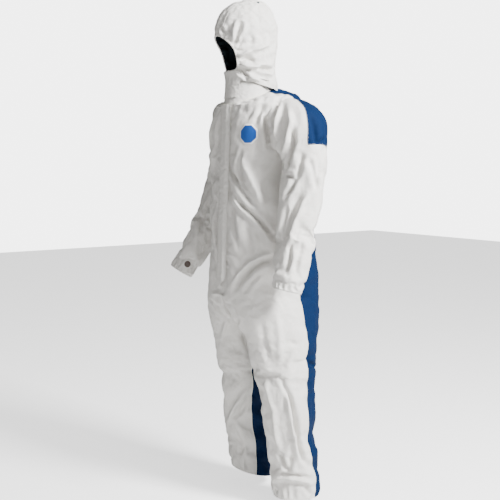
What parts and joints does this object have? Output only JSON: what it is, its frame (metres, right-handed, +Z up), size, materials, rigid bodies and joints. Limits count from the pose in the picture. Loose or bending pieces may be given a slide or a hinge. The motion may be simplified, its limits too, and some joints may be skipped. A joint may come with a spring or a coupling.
{
  "type": "chemical protective suit",
  "caption": "Hooded protective coverall, white with a blue back, with a zip under a storm flap, elasticated hood, cuffs and ankles.",
  "frame": {"origin": "centre of the neck seam, where the wearer's shoulders carry the suit", "axes": "+Z up along the standing wearer, -Y the way the wearer faces, +X the wearer's left"},
  "size_m": [0.6713, 0.3815, 1.7378],
  "materials": {
    "white_fabric": "soft nonwoven",
    "blue_fabric": "soft nonwoven",
    "dark_lining": "matt",
    "elastic": "matt",
    "zip_tape": "satin",
    "zip_slider": "satin",
    "adhesive": "satin",
    "badge": "satin",
    "patch": "matt"
  },
  "bodies": {
    "torso": {"front_left_panel": "white_fabric", "front_right_panel": "white_fabric", "back_panel": "blue_fabric", "waist_elastic": "elastic", "zip_tape_left": "zip_tape", "zip_tape_right": "zip_tape", "zip_chain_left": "zip_tape", "zip_chain_right": "zip_tape", "zip_top_stop": "zip_slider", "zip_bottom_stop": "zip_slider", "collar_left": "white_fabric", "collar_right": "white_fabric", "hood_gusset": "white_fabric", "chest_badge": "badge", "left_hip_front": "white_fabric", "left_hip_back": "blue_fabric", "right_hip_front": "white_fabric", "right_hip_back": "blue_fabric"},
    "hood": {"hood_centre_panel": "white_fabric", "hood_left_panel": "white_fabric", "hood_right_panel": "white_fabric", "hood_lining": "dark_lining", "face_elastic": "elastic"},
    "flap": {"storm_flap": "white_fabric", "flap_adhesive": "adhesive"},
    "chin_flap_part": {"chin_flap": "white_fabric"},
    "slider": {"zip_slider": "zip_slider"},
    "pull": {"zip_pull": "zip_slider"},
    "left_sleeve": {"left_sleeve_cap": "white_fabric", "left_shoulder_panel": "blue_fabric", "left_upper_sleeve": "white_fabric", "left_elbow": "white_fabric"},
    "left_forearm_part": {"left_forearm": "white_fabric", "left_cuff_elastic": "elastic"},
    "left_thigh": {"left_thigh_front": "white_fabric", "left_thigh_back": "blue_fabric", "left_knee_front": "white_fabric", "left_knee_back": "blue_fabric"},
    "left_lower_leg": {"left_shin_front": "white_fabric", "left_shin_back": "blue_fabric", "left_ankle_elastic": "elastic"},
    "right_sleeve": {"right_sleeve_cap": "white_fabric", "right_shoulder_panel": "blue_fabric", "right_upper_sleeve": "white_fabric", "right_elbow": "white_fabric"},
    "right_forearm_part": {"right_forearm": "white_fabric", "right_cuff_elastic": "elastic", "wrist_patch": "patch"},
    "right_thigh": {"right_thigh_front": "white_fabric", "right_thigh_back": "blue_fabric", "right_knee_front": "white_fabric", "right_knee_back": "blue_fabric"},
    "right_lower_leg": {"right_shin_front": "white_fabric", "right_shin_back": "blue_fabric", "right_ankle_elastic": "elastic"}
  },
  "joints": [
    {"name": "hood_push_back", "type": "hinge", "parent": "torso", "child": "hood", "pos_m": [0.03158, 0.09028, 0.036], "axis": [0.9563, -0.2924, 0], "range_deg": [-100, 0], "deforming": ["hood_gusset"]},
    {"name": "left_shoulder", "type": "hinge", "parent": "torso", "child": "left_sleeve", "pos_m": [0.17, 0.053, -0.115], "axis": [-1, 0, 0], "range_deg": [-30, 90]},
    {"name": "left_elbow_bend", "type": "hinge", "parent": "left_sleeve", "child": "left_forearm_part", "pos_m": [0.263, 0.022, -0.352], "axis": [-1, 0, 0], "range_deg": [0, 75], "deforming": ["left_elbow"]},
    {"name": "left_hip_bend", "type": "hinge", "parent": "torso", "child": "left_thigh", "pos_m": [0.1, 0.055, -0.611], "axis": [-1, 0, 0], "range_deg": [-10, 24], "deforming": ["left_hip_front", "left_hip_back"]},
    {"name": "left_knee_bend", "type": "hinge", "parent": "left_thigh", "child": "left_lower_leg", "pos_m": [0.111, 0.073, -0.926], "axis": [1, 0, 0], "range_deg": [0, 60], "deforming": ["left_knee_front", "left_knee_back"]},
    {"name": "right_shoulder", "type": "hinge", "parent": "torso", "child": "right_sleeve", "pos_m": [-0.17, 0.053, -0.115], "axis": [-1, 0, 0], "range_deg": [-30, 90]},
    {"name": "right_elbow_bend", "type": "hinge", "parent": "right_sleeve", "child": "right_forearm_part", "pos_m": [-0.261, 0.049, -0.35], "axis": [-1, 0, 0], "range_deg": [-15, 55], "deforming": ["right_elbow"]},
    {"name": "right_hip_bend", "type": "hinge", "parent": "torso", "child": "right_thigh", "pos_m": [-0.1, 0.055, -0.611], "axis": [-1, 0, 0], "range_deg": [-10, 24], "deforming": ["right_hip_front", "right_hip_back"]},
    {"name": "right_knee_bend", "type": "hinge", "parent": "right_thigh", "child": "right_lower_leg", "pos_m": [-0.111, 0.073, -0.926], "axis": [1, 0, 0], "range_deg": [0, 60], "deforming": ["right_knee_front", "right_knee_back"]},
    {"name": "flap_open", "type": "hinge", "parent": "torso", "child": "flap", "pos_m": [-0.03, -0.11334, -0.356], "axis": [0, -0.0366, -0.9993], "range_deg": [0, 150]},
    {"name": "chin_flap_open", "type": "hinge", "parent": "torso", "child": "chin_flap_part", "pos_m": [-0.06163, -0.06599, 0.03754], "axis": [0.0375, 0.0076, -0.9993], "range_deg": [0, 120]},
    {"name": "zip_slide", "type": "slide", "parent": "torso", "child": "slider", "axis": [0, -0.0366, -0.9993], "range_m": [0, 0.57]},
    {"name": "pull_swing", "type": "hinge", "parent": "slider", "child": "pull", "pos_m": [0, -0.10427, -0.05299], "axis": [0, -0.9993, 0.0366], "range_deg": [-30, 30]}
  ]
}
